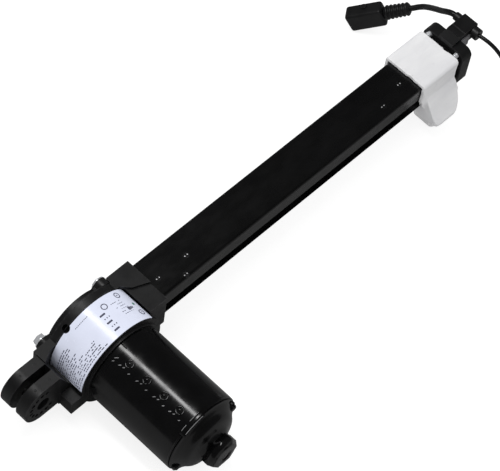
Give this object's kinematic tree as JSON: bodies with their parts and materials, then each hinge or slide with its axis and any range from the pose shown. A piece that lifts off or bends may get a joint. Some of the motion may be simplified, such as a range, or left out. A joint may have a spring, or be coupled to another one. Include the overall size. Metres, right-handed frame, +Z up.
{
  "type": "linear actuator",
  "caption": "Furniture linear actuator: worm gearbox with rear clevis, motor lying across it, slotted rail with spindle, sliding carriage with front lug, plug cable and lead.",
  "frame": {"origin": "centre of the rear clevis bore, midway between its two ears", "axes": "+X along the rail towards the end cap, +Z up out of the rail's closed web, +Y along the clevis bore away from the motor; the object lies level on z = -30 mm"},
  "size_m": [0.4769, 0.21, 0.0655],
  "materials": {
    "moulded_black": "glass-filled nylon, lightly textured",
    "rubber_seal": "flat rubber",
    "zinc_steel": "bright zinc plate",
    "label_film": "satin polyester film with abstract bars",
    "black_enamel": "glossy black enamel",
    "ferrite": "dark sintered ferrite",
    "phenolic": "phenolic board",
    "carbon": "carbon graphite",
    "bearing_steel": "ground steel",
    "bronze": "sintered bronze",
    "rail_enamel": "semi-gloss black powder coat",
    "dark_steel": "blackened steel",
    "switch_plastic": "moulded switch case",
    "cable_jacket": "PVC jacket, slight sheen",
    "soft_black": "soft moulded PVC",
    "copper": "enamelled copper",
    "gear_nylon": "natural polyamide",
    "white_nylon": "natural white polyacetal, satin"
  },
  "bodies": {
    "base": {"rear_clevis": "moulded_black", "gear_housing": "moulded_black", "housing_cover": "moulded_black", "cover_gasket": "rubber_seal", "cover_bolts": "zinc_steel", "rating_label": "label_film", "motor_can": "black_enamel", "motor_end_bell": "black_enamel", "end_bell_rivets": "black_enamel", "field_magnets": "ferrite", "brush_plate": "phenolic", "carbon_brushes": "carbon", "motor_front_bearing": "bearing_steel", "motor_rear_bearing": "bearing_steel", "spindle_rear_bearing": "bearing_steel", "spindle_front_bearing": "bearing_steel", "spindle_end_bush": "bronze", "rail": "rail_enamel", "rail_screws": "dark_steel", "end_cap": "moulded_black", "end_cap_screws": "zinc_steel", "rear_limit_switch": "switch_plastic", "front_limit_switch": "switch_plastic", "rail_harness": "cable_jacket", "cable_junction": "moulded_black", "junction_clip": "dark_steel", "plug_side_collar": "soft_black", "lead_side_collar": "soft_black", "plug_cable": "cable_jacket", "plug_relief": "soft_black", "plug_body": "moulded_black", "plug_button": "moulded_black", "plug_contacts": "bronze", "lead_cable": "cable_jacket", "lead_coil": "cable_jacket", "lead_tie": "soft_black", "lead_tail": "cable_jacket", "lead_connector": "moulded_black"},
    "armature": {"motor_shaft": "bearing_steel", "worm": "bronze", "armature_core": "dark_steel", "armature_winding": "copper", "commutator": "copper"},
    "spindle": {"spindle": "bearing_steel", "worm_wheel": "gear_nylon"},
    "carriage": {"carriage": "white_nylon", "drive_nut": "white_nylon", "nut_pin": "bearing_steel", "front_lug_bush": "bearing_steel"}
  },
  "joints": [
    {"name": "motor_spin", "type": "hinge", "parent": "base", "child": "armature", "pos_m": [0.0594, -0.04, 0], "axis": [0, 1, 0], "range_deg": [-144864, 0]},
    {"name": "spindle_spin", "type": "hinge", "parent": "base", "child": "spindle", "pos_m": [0.2, 0, 0.015], "axis": [1, 0, 0], "range_deg": [0, 6899.29]},
    {"name": "carriage_slide", "type": "slide", "parent": "base", "child": "carriage", "axis": [1, 0, 0], "range_m": [-0.23, 0]}
  ],
  "couplings": [
    {"joint": "spindle_spin", "follows": "motor_spin", "ratio": -0.047619},
    {"joint": "carriage_slide", "follows": "motor_spin", "m_per_rad": 0.000090946}
  ]
}
